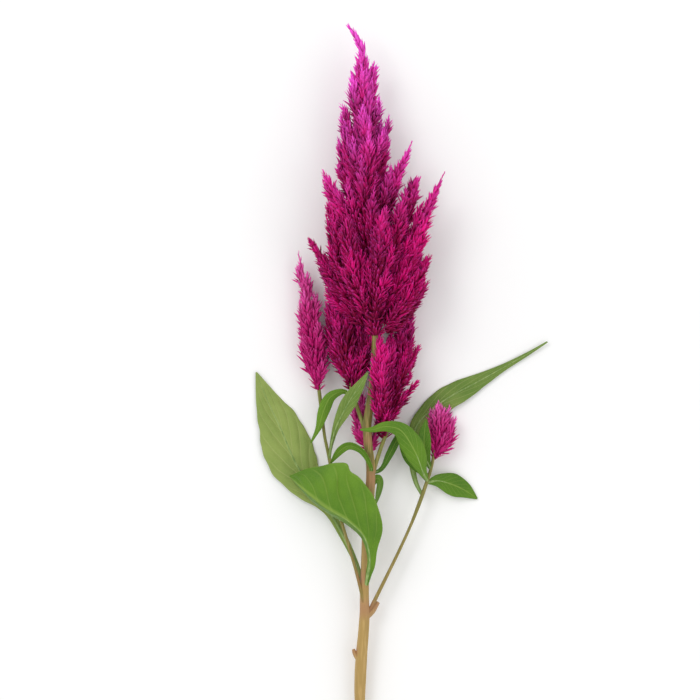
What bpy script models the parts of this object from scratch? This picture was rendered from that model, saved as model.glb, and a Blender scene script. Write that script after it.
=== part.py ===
"""Plume celosia: one cut flower stem with its leaves, side shoots and feathery plumes, laid on a surface.

The stem frame has its origin under the centre of the cut end, on the surface. +Y runs along the stem towards
the plume's tip, +Z points away from the surface. Lengths below are in millimetres. The last step moves
everything so that the world origin is at the middle of the object's footprint, on the surface.
"""

import math

import bmesh
import bpy
from mathutils import Matrix, Vector

MM = 0.001

# Driving dimensions
STEM_LENGTH = 500.0
STEM_CUT_RADIUS = 3.3
FIT_GAP = 0.35
LEAF_THICKNESS = 0.8
FLORET_DEPTH = 1.2
PETIOLE_RADIUS = 1.3
STEM_SIDES = 12
SPIKE_SIDES = 8

# Where each stalk runs, from its base up, and its radius at each of those points
MAIN_STEM = [(0, 0, 3.3), (0, 61, 8), (1, 87, 10), (3, 113, 12.5), (3, 133, 14), (4, 161, 16), (6, 191, 19),
             (7, 211, 21), (5, 230, 23), (5, 243, 24), (8, 263, 25.5), (10, 289, 27), (10, 312, 28)]
MAIN_STEM_RADII = [STEM_CUT_RADIUS, 3.2, 3.3, 3.8, 3.5, 2.9, 2.8, 3.4, 2.9, 2.8, 2.6, 2.4, 2.0]
LEFT_SHOOT = [(3, 119, 14), (1, 130, 16), (-3, 146, 15.5), (-8, 163, 13.5), (-13, 181, 12), (-17, 203, 11),
              (-20, 218, 11), (-23, 232, 10.5), (-25, 248, 10), (-27, 264, 10), (-29, 276, 10)]
LEFT_SHOOT_RADII = [1.1, 1.1, 1.0, 1.0, 1.0, 1.0, 1.0, 1.0, 1.1, 1.2, 1.0]
RIGHT_SHOOT = [(3, 112, 12.5), (9, 124, 13), (21, 148, 12.5), (31, 169, 11.5), (38, 186, 10.5),
               (44, 203, 10), (47, 213, 9.5), (49, 224, 9)]
RIGHT_SHOOT_RADII = [1.3, 1.2, 1.1, 1.0, 1.0, 1.2, 1.1, 1.0]
LEFT_STALK = [(5, 229, 23), (2, 240, 21.5), (-3, 255, 19), (-6, 266, 17), (-8, 277, 15)]
LEFT_STALK_RADII = [1.5, 1.4, 1.3, 1.4, 1.2]
RIGHT_STALK = [(7, 203, 20), (10, 214, 20), (14, 226, 19.5), (18, 237, 19), (20, 248, 18.5), (20, 259, 18)]
RIGHT_STALK_RADII = [1.5, 1.4, 1.3, 1.3, 1.3, 1.2]
SCAR = [(5, 117, 11.5), (8.5, 120, 10.5), (11, 123, 10)]


def smooth_path(points, count):
    """count points at even spacing on a Catmull-Rom curve through the given points."""
    corners = [Vector(p) for p in points]
    corners = [2 * corners[0] - corners[1]] + corners + [2 * corners[-1] - corners[-2]]
    fine = []
    for a, b, c, d in zip(corners, corners[1:], corners[2:], corners[3:]):
        for step in range(12):
            t = step / 12
            fine.append(0.5 * (2 * b + (c - a) * t + (2 * a - 5 * b + 4 * c - d) * t * t
                               + (3 * b - a - 3 * c + d) * t ** 3))
    fine.append(corners[-2])
    travelled = [0.0]
    for a, b in zip(fine, fine[1:]):
        travelled.append(travelled[-1] + (b - a).length)
    path = []
    for index in range(count):
        goal = travelled[-1] * index / (count - 1)
        k = max(i for i, length in enumerate(travelled[:-1]) if length <= goal + 1e-9)
        share = (goal - travelled[k]) / (travelled[k + 1] - travelled[k])
        path.append(fine[k].lerp(fine[k + 1], min(1.0, share)))
    return path


def along(values, share):
    """The value at a share from 0 to 1 of a list of evenly spaced values."""
    place = share * (len(values) - 1)
    k = min(int(place), len(values) - 2)
    return values[k] + (values[k + 1] - values[k]) * (place - k)


def frames_on(path, up):
    """(point, across, normal) along a path. The normal starts as near to up as it can, and doesn't twist."""
    frames = []
    normal = Vector(up)
    for k, point in enumerate(path):
        ahead = (path[min(k + 1, len(path) - 1)] - path[max(k - 1, 0)]).normalized()
        normal = (normal - ahead * normal.dot(ahead)).normalized()
        frames.append((point, ahead.cross(normal), normal))
    return frames


def object_from_rings(name, rings, material):
    """A closed solid skinned over rings of the same number of points, with its two ends filled."""
    mesh = bpy.data.meshes.new(name)
    shape = bmesh.new()
    rows = [[shape.verts.new(p * MM) for p in ring] for ring in rings]
    count = len(rows[0])
    for lower, upper in zip(rows, rows[1:]):
        for k in range(count):
            shape.faces.new((lower[k], lower[(k + 1) % count], upper[(k + 1) % count], upper[k]))
    shape.faces.new(rows[0][::-1])
    shape.faces.new(rows[-1])
    bmesh.ops.recalc_face_normals(shape, faces=shape.faces)
    shape.to_mesh(mesh)
    shape.free()
    made = bpy.data.objects.new(name, mesh)
    bpy.context.scene.collection.objects.link(made)
    mesh.shade_smooth()
    mesh.set_sharp_from_angle(angle=math.radians(50))
    mesh.materials.append(material)
    return made


def tube(name, points, radii, material, rings=16, sides=STEM_SIDES, extra=0.0, up=(0, 0, 1)):
    """A round stalk along a smooth path. extra is added to every radius."""
    made = []
    for k, (centre, across, normal) in enumerate(frames_on(smooth_path(points, rings), up)):
        radius = along(radii, k / (rings - 1)) + extra
        made.append([centre + (across * math.cos(a) + normal * math.sin(a)) * radius
                     for a in (2 * math.pi * s / sides for s in range(sides))])
    return object_from_rings(name, made, material)


def spike_radius(share, widest, blunt=0.25):
    """A spike's radius: a blunt foot, widest a third of the way up, then a long taper to its point."""
    if share < 0.33:
        return widest * (blunt + (1 - blunt) * math.sin(share / 0.33 * math.pi / 2))
    return widest * max(0.03, 1 - ((share - 0.33) / 0.67) ** 1.35)


def spike(name, points, widest, material, rings=8):
    """One tapering spike of a plume. widest is the radius of its flesh, under its layer of florets."""
    made = []
    for k, (centre, across, normal) in enumerate(frames_on(smooth_path(points, rings), (0, 0, 1))):
        radius = spike_radius(k / (rings - 1), widest + FLORET_DEPTH)
        made.append([centre + (across * math.cos(a) + normal * math.sin(a)) * radius
                     for a in (2 * math.pi * (s + 0.5) / SPIKE_SIDES for s in range(SPIKE_SIDES))])
    return object_from_rings(name, made, material)


def bake_modifiers(obj):
    """Replaces an object's mesh by the one that its modifiers give."""
    bpy.context.view_layer.update()
    evaluated = obj.evaluated_get(bpy.context.evaluated_depsgraph_get())
    mesh = bpy.data.meshes.new_from_object(evaluated)
    obj.modifiers.clear()
    obj.data = mesh


def combine(obj, other, operation):
    """Joins other to obj, or cuts it away, and removes other."""
    modifier = obj.modifiers.new(operation.lower(), "BOOLEAN")
    modifier.operation = operation
    modifier.object = other
    bake_modifiers(obj)
    bpy.data.objects.remove(other)


def keep_largest(obj):
    """Deletes the crumbs that a cut leaves on the far side of a stalk."""
    shape = bmesh.new()
    shape.from_mesh(obj.data)
    waiting, islands = set(shape.verts), []
    while waiting:
        island, edge = set(), [waiting.pop()]
        while edge:
            vertex = edge.pop()
            island.add(vertex)
            near = {e.other_vert(vertex) for e in vertex.link_edges} & waiting
            waiting -= near
            edge.extend(near)
        islands.append(island)
    islands.sort(key=len)
    for island in islands[:-1]:
        bmesh.ops.delete(shape, geom=list(island), context="VERTS")
    shape.to_mesh(obj.data)
    shape.free()


def seat_on(obj, carriers):
    """Cuts a piece back from each stalk that it grows on, so that FIT_GAP is left between them."""
    for points, radii in carriers:
        cutter = tube("cutter", points, radii, obj.data.materials[0], extra=FIT_GAP, rings=24)
        combine(obj, cutter, "DIFFERENCE")
    keep_largest(obj)


def trim_to_surface(obj):
    """Flattens the side that lies on the surface, as the plume's own weight does."""
    half = STEM_LENGTH * MM
    bpy.ops.mesh.primitive_cube_add(size=2 * half, location=(0, half, -half))
    combine(obj, bpy.context.object, "DIFFERENCE")


def plume(name, body, spikes, material, carriers):
    """One plume: its body and the spikes round it grown into one solid, seated on its stalk."""
    made = body
    made.name = name
    made.data.name = name
    for points, widest in spikes:
        combine(made, spike("spike", points, widest, material), "UNION")
    seat_on(made, carriers)
    trim_to_surface(made)
    return made


def leaf(name, spine, left, right, folds, rings=11, roll=0.0, petiole=0.2):
    """One leaf as a thin closed blade on its own petiole.

    left and right are the half widths along the leaf, folds the angles in degrees at which the two halves
    rise (or hang, if negative) from the midrib, and petiole the share of the length that is stalk.
    """
    made = []
    shares = (-1.0, -0.55, 0.0, 0.55, 1.0)
    for k, (centre, across, normal) in enumerate(frames_on(smooth_path(spine, rings), (0, 0, 1))):
        share = k / (rings - 1)
        turn = Matrix.Rotation(math.radians(roll), 3, across.cross(normal))
        across, normal = turn @ across, turn @ normal
        stalk = max(0.0, 1 - share / petiole) if petiole else 0.0
        half_thick = LEAF_THICKNESS / 2 + stalk * (PETIOLE_RADIUS - LEAF_THICKNESS / 2)
        top, bottom = [], []
        for u in shares:
            half_width = max(along(left if u < 0 else right, share), 0.5)
            fold = math.radians(folds[0] if u < 0 else folds[1])
            reach = abs(u) * half_width
            side = math.copysign(1.0, u)
            middle = centre + across * (side * reach * math.cos(fold)) + normal * (reach * math.sin(fold))
            lean = normal * math.cos(fold) - across * (side * math.sin(fold)) if u else normal
            thin = half_thick * (0.45 if abs(u) == 1.0 else 1.0)
            top.append(middle + lean * thin)
            bottom.append(middle - lean * thin)
        made.append(top + bottom[::-1])
    return object_from_rings(name, made, MATERIALS["leaf"])


def material(name, colour, roughness):
    """A plain opaque finish."""
    made = bpy.data.materials.new(name)
    made.use_nodes = True
    shader = made.node_tree.nodes["Principled BSDF"]
    shader.inputs["Base Color"].default_value = (*colour, 1.0)
    shader.inputs["Roughness"].default_value = roughness
    shader.inputs["Metallic"].default_value = 0.0
    made.diffuse_color = (*colour, 1.0)
    return made


for old in list(bpy.data.objects):
    bpy.data.objects.remove(old)

MATERIALS = {
    "stem": material("stem", (0.42, 0.31, 0.12), 0.5),
    "shoot": material("shoot", (0.33, 0.30, 0.07), 0.5),
    "leaf": material("leaf", (0.12, 0.30, 0.05), 0.5),
    "plume": material("plume", (0.42, 0.02, 0.17), 0.7),
    "side_plume": material("side_plume", (0.40, 0.03, 0.20), 0.7),
}


def build_stalks():
    """The main stem with its scar and stub, the two side shoots and the stalks of the lower plumes."""
    stem = tube("main_stem", MAIN_STEM, MAIN_STEM_RADII, MATERIALS["stem"], rings=24)
    combine(stem, tube("scar", SCAR, [2.2, 1.8, 1.5], MATERIALS["stem"], rings=3, sides=8), "UNION")
    stub = [(-2, 88, 10), (-4, 92, 10.2)]
    combine(stem, tube("stub", stub, [1.6, 1.1], MATERIALS["stem"], rings=2, sides=8), "UNION")
    main = [(MAIN_STEM, MAIN_STEM_RADII)]
    for name, points, radii, rings in (
        ("left_side_shoot", LEFT_SHOOT, LEFT_SHOOT_RADII, 16),
        ("right_side_shoot", RIGHT_SHOOT, RIGHT_SHOOT_RADII, 14),
        ("left_plume_stalk", LEFT_STALK, LEFT_STALK_RADII, 8),
        ("right_plume_stalk", RIGHT_STALK, RIGHT_STALK_RADII, 8),
    ):
        seat_on(tube(name, points, radii, MATERIALS["shoot"], rings=rings, sides=8), main)
    seat_on(bpy.data.objects["right_side_shoot"], [(SCAR, [2.5, 2.1, 1.8])])


def build_main_plume():
    """The tall plume: a column that runs out into a thin leader, with long spikes all round it."""
    column = [(10, 298, 28), (8, 334, 28.5), (5, 373, 28.5), (3.5, 419, 28), (3, 445, 27.5),
              (2.8, 464, 27), (2.6, 478, 26.5), (0.2, 488, 25.5), (-6, 497, 24)]
    column_radii = [5, 14, 15.5, 14, 12.5, 9.4, 4.2, 0.6]
    front_spikes = [
        ([(16, 322, 30), (33, 358, 34), (54, 402, 34)], 5.2),
        ([(12, 360, 28), (21, 392, 30), (33, 422, 30)], 4.2),
        ([(18, 340, 28), (28, 370, 30), (38.5, 399, 30)], 4.4),
        ([(2, 350, 30), (-9, 374, 31), (-23.5, 402, 32)], 5.4),
        ([(1, 312, 26), (-17, 336, 28), (-33, 360, 29)], 4.6),
        ([(9, 308, 36), (12, 345, 46), (16, 379, 50)], 7),
        ([(4, 312, 38), (-5, 345, 44), (-9, 372, 46)], 7),
        ([(17, 303, 34), (32, 324, 35), (44, 349, 35)], 6),
        ([(2, 392, 27), (-6, 411, 27), (-11, 433, 27)], 4.5),
        ([(6, 392, 27), (13.5, 412, 28), (18, 434, 28)], 4.5),
        ([(4, 384, 33), (5, 412, 37), (5, 438, 38)], 5.5),
        ([(16, 338, 36), (24, 366, 42), (28, 389, 44)], 5.5),
        ([(0, 322, 30), (-13, 346, 33), (-19, 374, 33)], 6.5),
        ([(17, 316, 32), (31, 340, 35), (39, 368, 34)], 6.5),
    ]
    back_spikes = [
        ([(16, 336, 22), (26, 366, 20), (35, 396, 20)], 5.2),
        ([(0, 336, 23), (-12, 362, 21), (-20.5, 386, 20)], 6),
        ([(17, 300, 22), (30, 314, 20), (40, 327, 19)], 6),
        ([(2, 305, 21), (-13, 324, 20), (-25, 348, 20)], 6.6),
        ([(10, 305, 16), (12, 338, 8), (12, 376, 9)], 7.5),
        ([(5, 306, 15), (-4, 336, 9), (-10, 367, 9)], 7),
        ([(15, 306, 15), (24, 336, 9), (27, 367, 9)], 7),
        ([(4, 384, 22), (3, 412, 19), (2, 438, 19)], 5),
        ([(2, 376, 24), (-8, 400, 24), (-14, 426, 24)], 5),
        ([(1, 410, 26), (-6, 428, 26), (-11, 444, 26)], 3.3),
        ([(8, 400, 25), (15, 417, 25), (20, 434, 25)], 3.3),
        ([(18, 310, 24), (29, 334, 22), (39, 356, 22)], 5.5),
    ]
    body = tube("main_plume", column, column_radii, MATERIALS["plume"], rings=14, sides=10)
    main = [(MAIN_STEM, MAIN_STEM_RADII)]
    plume("main_plume", body, front_spikes + back_spikes, MATERIALS["plume"], main)


def build_lesser_plumes():
    """The two lower plumes, the plumes of the side shoots and the small tufts against the stem."""
    main, left = (MAIN_STEM, MAIN_STEM_RADII), (LEFT_STALK, LEFT_STALK_RADII)
    right = (RIGHT_STALK, RIGHT_STALK_RADII)
    for name, slot, carriers, paths in (
        ("left_lower_plume", "plume", [left],
         [([(-5, 263, 17), (-10, 290, 12), (-13, 328, 6)], 9),
          ([(-7, 268, 14), (-15, 290, 12), (-19, 318, 9)], 6),
          ([(-4, 266, 13), (2, 286, 11), (3, 310, 8)], 6)]),
        ("right_lower_plume", "plume", [right, main],
         [([(15.5, 231, 18), (16, 262, 18), (21, 300, 12)], 9),
          ([(18, 250, 19), (27, 268, 22), (37.5, 289, 23)], 3.4),
          ([(16, 240, 18), (24, 252, 21), (36, 266, 22)], 2.6),
          ([(20, 258, 12), (28, 286, 10), (33, 322, 9)], 7.5),
          ([(15, 240, 25), (12.5, 268, 31), (13, 298, 28)], 6)]),
        ("left_side_plume", "side_plume", [(LEFT_SHOOT, LEFT_SHOOT_RADII)],
         [([(-27, 262, 10), (-31, 298, 11), (-40, 351, 11)], 6),
          ([(-28, 266, 10), (-34, 282, 10), (-37, 302, 10)], 3.5),
          ([(-28, 266, 9), (-25, 282, 6), (-26, 300, 5)], 4),
          ([(-28, 268, 6), (-32, 290, 4.2), (-35, 312, 4.2)], 5)]),
        ("right_side_plume", "side_plume", [(RIGHT_SHOOT, RIGHT_SHOOT_RADII)],
         [([(49, 217, 9), (52, 232, 9.5), (53, 252, 10)], 4.5),
          ([(49, 218, 9), (57, 228, 9), (61, 241, 9)], 3.5),
          ([(50, 220, 7), (48, 232, 5), (47, 242, 4)], 3.5),
          ([(51, 221, 6), (56, 234, 3.6), (58, 246, 3.4)], 4)]),
        ("left_stem_tuft", "side_plume", [main, left, right],
         [([(4, 224, 20.5), (-1, 240, 14), (-4, 253, 11)], 2),
          ([(4, 224, 20.5), (2, 243, 13.5), (1, 256, 11)], 1.8)]),
        ("right_stem_tuft", "side_plume", [main, left, right],
         [([(6, 222, 20), (9, 229, 14), (11, 238, 11)], 1.4)]),
    ):
        body = spike(name, *paths[0], MATERIALS[slot])
        plume(name, body, paths[1:], MATERIALS[slot], carriers)


def build_leaves():
    """Every leaf, seated on the stalk that bears it."""
    main = [(MAIN_STEM, MAIN_STEM_RADII)]
    left = [(LEFT_SHOOT, LEFT_SHOOT_RADII)]
    left_stalk = [(LEFT_STALK, LEFT_STALK_RADII)]
    right = [(RIGHT_SHOOT, RIGHT_SHOOT_RADII)]

    spine = [(2, 129, 11.5), (-1, 145, 9.5), (-10, 165, 7), (-20, 183, 4.6), (-31, 198, 2.6),
             (-42, 214, 1.2), (-52, 237, 0.6), (-61, 256, 0.7), (-68, 274, 1.6)]
    seat_on(leaf("leaf_lower_left", spine, [1.2, 1.6, 2.4, 4, 12, 17, 15, 8, 0.5],
                 [1.2, 1.6, 2.4, 3.4, 10, 15, 14, 8, 0.5], (4, 2), rings=15, petiole=0.4), main)

    spine = [(3, 132, 14), (5, 142, 20), (6.5, 153, 26), (3, 167, 30), (-8, 178, 31), (-23, 187, 28),
             (-38, 199, 19), (-46, 206, 10)]
    seat_on(leaf("leaf_front", spine, [1.2, 2.4, 4, 7, 9, 9, 7, 0.5],
                 [1.2, 3, 6, 19, 28, 31, 18, 0.5], (-55, -4), rings=14), main)

    half = [1, 2.6, 3, 0.5]
    spine = [(6, 198, 19), (11, 205, 18), (13, 202, 16), (12, 195, 13), (10, 187, 11)]
    seat_on(leaf("leaf_behind_right", spine, half, half, (5, 5), rings=9), main)

    half = [1, 1.4, 2, 2.6, 2.4, 0.5]
    spine = [(7, 208, 21), (7, 213, 26), (2, 222, 29), (-4, 226, 29), (-9, 226, 28), (-14, 222, 25),
             (-19, 215, 22)]
    seat_on(leaf("leaf_arching_left", spine, half, half, (10, 10), rings=12), main)

    half = [1, 1.6, 2.6, 2.4, 0.5]
    spine = [(7, 208, 18), (14, 211, 15.5), (19, 220, 14.5), (24, 230, 14), (29, 240, 13.5)]
    seat_on(leaf("leaf_dark_right", spine, half, half, (8, 8), rings=9), main)

    half = [0.8, 1.2, 2.2, 4, 5, 3.4, 0.5]
    spine = [(-20, 217, 11), (-19, 225, 14), (-16, 237, 20), (-11, 248, 26), (-6, 257, 31), (0, 266, 34),
             (5, 274, 36)]
    seat_on(leaf("leaf_left_shoot_upright", spine, half, half, (6, 6), rings=12), left)

    half = [0.8, 1.4, 3, 4, 3.2, 1.6, 0.5]
    spine = [(-3, 255, 19), (-9, 261, 21), (-14, 261, 21), (-20, 257, 19), (-24, 248, 17), (-27, 238, 15),
             (-32, 228, 13)]
    seat_on(leaf("leaf_left_shoot_curled", spine, half, half, (-10, -10), rings=12), left_stalk)

    half = [1, 3, 6.5, 7, 4.5, 2.5, 0.5]
    spine = [(44, 203, 10), (41, 209, 19), (36, 222, 27), (27, 236, 32), (17, 239, 33), (8, 237, 32),
             (0, 237, 31)]
    seat_on(leaf("leaf_right_shoot_front", spine, half, half, (-6, -6), rings=12), right)

    half = [1, 2.6, 4.2, 3.4, 0.5]
    spine = [(45, 206, 10), (38, 211, 11), (33, 218, 12), (29, 226, 12.5), (26, 234, 13)]
    seat_on(leaf("leaf_right_shoot_dark", spine, half, half, (4, 4), rings=9), right)

    half = [1, 2.8, 4.5, 3.6, 0.5]
    spine = [(46, 211, 9.5), (44, 216, 12), (42, 225, 15), (42, 234, 17), (43, 243, 19)]
    seat_on(leaf("leaf_right_shoot_upright", spine, half, half, (6, 6), rings=9), right)

    half = [1, 1.8, 3, 5, 7.5, 7.5, 4.8, 2.4, 1.3, 0.5]
    spine = [(41, 193, 10), (36, 204, 6.5), (34, 220, 4), (37, 238, 2.6), (48, 250, 1.8), (61, 259, 1.3),
             (76, 267, 1.1), (94, 277, 1.2), (110, 286, 1.8), (123, 294, 2.6)]
    seat_on(leaf("leaf_right_shoot_long", spine, half, half, (3, 3), rings=15), right)

    half = [1, 5, 7.5, 5, 0.5]
    spine = [(44, 202, 10), (51, 203, 7.5), (59, 201, 5), (68, 197, 2.6), (77, 191, 1)]
    seat_on(leaf("leaf_right_shoot_oval", spine, half, half, (4, 4), rings=10), right)


def centre_footprint():
    """Moves everything so that the origin is under the middle of the object, at the surface."""
    bpy.context.view_layer.update()
    corners = [obj.matrix_world @ vertex.co
               for obj in bpy.context.scene.objects for vertex in obj.data.vertices]
    low = Vector([min(c[axis] for c in corners) for axis in range(3)])
    high = Vector([max(c[axis] for c in corners) for axis in range(3)])
    shift = Vector((-(low.x + high.x) / 2, -(low.y + high.y) / 2, -low.z))
    for obj in bpy.context.scene.objects:
        obj.data.transform(Matrix.Translation(shift))


build_stalks()
build_main_plume()
build_lesser_plumes()
build_leaves()
centre_footprint()
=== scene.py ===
# %% [markdown]
# # A cut stem of plume celosia
#
# The object is one flower stem, picked and laid on a pale table: a ribbed stem, thin side shoots, leaves
# shaped like lances, and feathery plumes made of thousands of small papery florets. The measured model gives
# every place and size. This lesson gives it its real surface: each stalk, each leaf with its veins, and
# every floret.
#
# We begin by loading the measured model. It is a fixed frame: nothing in it is moved, and each new piece
# says which measured part it stands for.

# %% Load the measured frame
import math

import bpy
import numpy as np
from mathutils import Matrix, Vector


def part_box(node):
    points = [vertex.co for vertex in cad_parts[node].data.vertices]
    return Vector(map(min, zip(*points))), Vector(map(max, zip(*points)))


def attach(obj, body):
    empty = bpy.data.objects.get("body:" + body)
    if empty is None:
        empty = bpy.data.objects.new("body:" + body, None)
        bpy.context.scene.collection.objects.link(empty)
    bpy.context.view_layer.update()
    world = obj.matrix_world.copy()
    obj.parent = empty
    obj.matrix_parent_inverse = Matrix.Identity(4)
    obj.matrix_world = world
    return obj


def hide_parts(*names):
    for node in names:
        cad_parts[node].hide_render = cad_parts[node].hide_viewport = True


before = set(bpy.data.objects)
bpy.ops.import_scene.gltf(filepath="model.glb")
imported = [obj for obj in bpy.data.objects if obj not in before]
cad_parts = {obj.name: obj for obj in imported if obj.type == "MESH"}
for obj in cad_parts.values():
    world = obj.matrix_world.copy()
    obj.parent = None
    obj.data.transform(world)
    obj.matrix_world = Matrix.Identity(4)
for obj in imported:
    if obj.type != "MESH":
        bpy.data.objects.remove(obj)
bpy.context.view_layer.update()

# %% [markdown]
# ## One ruler for the whole stem
#
# A grower measures a stem from its cut end. So do we: y runs up the stem from the cut, x to the right, z
# away from the table, all in millimetres. The middle of the cut face in the measured model is where the
# ruler starts.

# %% Find the cut end and set the ruler there
MM = 0.001
CUT_FACE_DEPTH = 0.8 * MM


def cut_face_middle():
    """The middle of the main stem's cut face, in the frame's metres."""
    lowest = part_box("main_stem")[0].y
    mesh = bpy.data.objects["main_stem"].data
    face = [v.co for v in mesh.vertices if v.co.y < lowest + CUT_FACE_DEPTH]
    return [(min(c[axis] for c in face) + max(c[axis] for c in face)) / 2 for axis in (0, 1)]


RULER_START = np.array([*cut_face_middle(), 0.0])
print("the ruler starts at", RULER_START.round(4))


def in_metres(places):
    """Places on the stem's ruler, in millimetres, as places in the frame."""
    return np.asarray(places, float) * MM + RULER_START


# %% [markdown]
# ## Camera, table and light
#
# A cut stem lies down, so the camera looks straight down on it with the plume at the top of the picture. A
# long lens from far away keeps the plume and the flat leaves at one scale. The table is a plain pale sheet.
# Two large soft lamps and a bright world leave only faint shadows, as in a catalogue picture.

# %% Camera
PICTURE_CENTRE = (-6.5, 288.6, 25.0)
PICTURE_WIDTH = 455.0 * MM
CAMERA_HEIGHT = 2.5
SENSOR_WIDTH = 36.0

camera = bpy.data.objects.new("camera", bpy.data.cameras.new("camera"))
bpy.context.scene.collection.objects.link(camera)
camera.data.sensor_width = SENSOR_WIDTH
camera.data.lens = SENSOR_WIDTH * CAMERA_HEIGHT / PICTURE_WIDTH
camera.location = Vector(in_metres(PICTURE_CENTRE)) + Vector((0, 0, CAMERA_HEIGHT))
bpy.context.scene.camera = camera
print("lens", round(camera.data.lens), "mm")


# %% [markdown]
# A finish is a small network of shader nodes. These helpers keep each network short to read: one adds a node
# and sets its values, and the others make the few mixes that every finish here needs.

# %% Helpers for finishes
def new_finish(name):
    """A material with nothing in its network but its shader: (material, network, shader)."""
    made = bpy.data.materials.new(name)
    made.use_nodes = True
    tree = made.node_tree
    return made, tree, tree.nodes["Principled BSDF"]


def add(tree, kind, inputs=None, **settings):
    """Adds a node, with its settings, and its inputs as values or as other nodes' outputs."""
    node = tree.nodes.new(kind)
    for key, value in settings.items():
        setattr(node, key, value)
    for key, value in (inputs or {}).items():
        if isinstance(value, bpy.types.NodeSocket):
            tree.links.new(value, node.inputs[key])
        else:
            node.inputs[key].default_value = value
    return node


def sums(tree, operation, first, second=0.0, clamp=False):
    """One step of arithmetic on numbers."""
    node = add(tree, "ShaderNodeMath", {0: first, 1: second}, operation=operation, use_clamp=clamp)
    return node.outputs[0]


def between(tree, value, low, high, to_low=0.0, to_high=1.0):
    """Carries a value smoothly from one range to another, and stops at the ends."""
    ranges = {"Value": value, "From Min": low, "From Max": high, "To Min": to_low, "To Max": to_high}
    return add(tree, "ShaderNodeMapRange", ranges, interpolation_type="SMOOTHSTEP").outputs["Result"]


def blend(tree, share, first, second):
    """Mixes two colours, each a tuple or another node's output."""
    first, second = [(*c, 1.0) if isinstance(c, tuple) else c for c in (first, second)]
    node = add(tree, "ShaderNodeMix", data_type="RGBA")
    colour_a, colour_b = [s for s in node.inputs if s.name in "AB" and s.type == "RGBA"]
    for socket, value in ((node.inputs["Factor"], share), (colour_a, first), (colour_b, second)):
        if isinstance(value, bpy.types.NodeSocket):
            tree.links.new(value, socket)
        else:
            socket.default_value = value
    return next(s for s in node.outputs if s.type == "RGBA")


def own_place(tree):
    """Where a point is on its own piece, in metres."""
    return add(tree, "ShaderNodeTexCoord").outputs["Object"]


def noise(tree, scale, detail=3.0, stretch=(1, 1, 1)):
    """A cloudy pattern on the piece, stretched where asked."""
    mapped = add(tree, "ShaderNodeMapping", {"Vector": own_place(tree), "Scale": stretch}).outputs[0]
    inputs = {"Vector": mapped, "Scale": scale, "Detail": detail}
    return add(tree, "ShaderNodeTexNoise", inputs).outputs["Fac"]


def finish_surface(tree, shader, colour, roughness, height, bump_size, bump_strength=0.4):
    """Joins the colour, the roughness and the fine relief to the shader."""
    bump = add(tree, "ShaderNodeBump", {"Height": height, "Strength": bump_strength, "Distance": bump_size})
    tree.links.new(colour, shader.inputs["Base Color"])
    tree.links.new(roughness, shader.inputs["Roughness"])
    tree.links.new(bump.outputs[0], shader.inputs["Normal"])


# %% Table and light
# A lamp is its place and size in metres, and its power in watts.
TABLE_SIZE = 12.0
WORLD_LIGHT = 0.86
LAMPS = {"key_lamp": ((-0.9, 0.9, 1.5), 0.9, 9.0), "fill_lamp": ((1.2, -0.3, 1.4), 1.2, 4.0)}


def pale_table():
    """A large plain sheet under the stem."""
    bpy.ops.object.select_all(action="DESELECT")
    bpy.ops.mesh.primitive_plane_add(size=TABLE_SIZE, location=(0, 0, 0))
    table = bpy.context.object
    table.name = "pale_table"
    made, tree, shader = new_finish("matt_white_table")
    cloud = noise(tree, 3.0)
    colour = blend(tree, between(tree, cloud, 0.3, 0.7), (0.93, 0.93, 0.93), (0.95, 0.95, 0.945))
    finish_surface(tree, shader, colour, between(tree, cloud, 0.3, 0.7, 0.8, 0.9), cloud, 0.0002, 0.05)
    table.data.materials.append(made)
    return table


def soft_lamp(name, place, size, power):
    """A large square lamp that looks at the stem."""
    lamp = bpy.data.objects.new(name, bpy.data.lights.new(name, "AREA"))
    lamp.data.size = size
    lamp.data.energy = power
    lamp.location = place
    lamp.rotation_euler = Vector(place).to_track_quat("Z", "Y").to_euler()
    bpy.context.scene.collection.objects.link(lamp)


pale_table()
for name, lamp in LAMPS.items():
    soft_lamp(name, *lamp)
world = bpy.data.worlds.new("studio")
world.use_nodes = True
world.node_tree.nodes["Background"].inputs["Color"].default_value = (1, 1, 1, 1)
world.node_tree.nodes["Background"].inputs["Strength"].default_value = WORLD_LIGHT
bpy.context.scene.world = world
bpy.context.scene.view_settings.view_transform = "Standard"
print("a table", TABLE_SIZE, "m wide under", len(LAMPS), "lamps")

# %% [markdown]
# ## Paths
#
# Every stalk, leaf and plume follows a smooth line through a few measured points. Evenly spaced steps on
# that line come first. At each step we also need to know which way is ahead, which is across, and which is
# up.

# %% Smooth lines through measured points
FINE_STEPS = 12
NO_LENGTH = 1e-9


def smooth_path(points, count):
    """count evenly spaced points on a smooth curve through the given ones."""
    corners = np.array(points, float)
    corners = np.vstack((2 * corners[0] - corners[1], corners, 2 * corners[-1] - corners[-2]))
    t = np.linspace(0, 1, FINE_STEPS, endpoint=False)[:, None]
    runs = [0.5 * (2 * b + (c - a) * t + (2 * a - 5 * b + 4 * c - d) * t ** 2
                   + (3 * b - a - 3 * c + d) * t ** 3)
            for a, b, c, d in zip(corners, corners[1:], corners[2:], corners[3:])]
    fine = np.vstack((*runs, corners[-2]))
    travelled = np.append(0, np.cumsum(np.linalg.norm(np.diff(fine, axis=0), axis=1)))
    goals = np.linspace(0, travelled[-1], count)
    return np.column_stack([np.interp(goals, travelled, fine[:, axis]) for axis in range(3)])


def length_of(points):
    """How long a line through some points is."""
    return float(np.linalg.norm(np.diff(np.array(points, float), axis=0), axis=1).sum())


def unit(vectors):
    """The vectors at length one."""
    return vectors / np.maximum(np.linalg.norm(vectors, axis=-1, keepdims=True), NO_LENGTH)


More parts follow.
